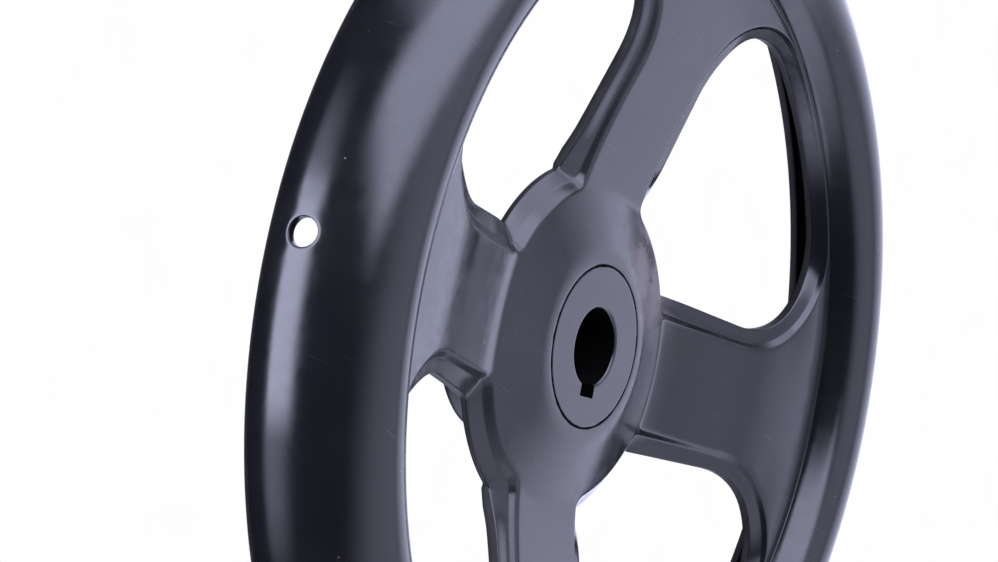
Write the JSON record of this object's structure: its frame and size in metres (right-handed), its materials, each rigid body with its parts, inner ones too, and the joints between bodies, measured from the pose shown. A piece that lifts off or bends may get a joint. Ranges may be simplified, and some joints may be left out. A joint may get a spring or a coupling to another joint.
{
  "type": "machine handwheel",
  "caption": "Pressed steel handwheel with a rolled open-back rim, flanged windows between broad spokes, a welded-in hub with a keyed bore, and a hole in the rim for a crank handle.",
  "frame": {"origin": "on the bore axis at the hub's back end face, which is also what the wheel rests on", "axes": "+Z along the bore axis from the hub's back face to its front face; the spokes lie along +X, +Y, -X and -Y; the handle's hole is on the -X side of the rim"},
  "size_m": [0.25, 0.25, 0.0489],
  "materials": {
    "sheet_steel": "smooth pressed sheet with a thin bright coat",
    "turned_steel": "turned, under the same thin coat",
    "weld_steel": "weld bead under the same thin coat"
  },
  "bodies": {
    "root": {"wheel_body": "sheet_steel", "hub": "turned_steel", "hub_weld": "weld_steel"}
  },
  "joints": []
}
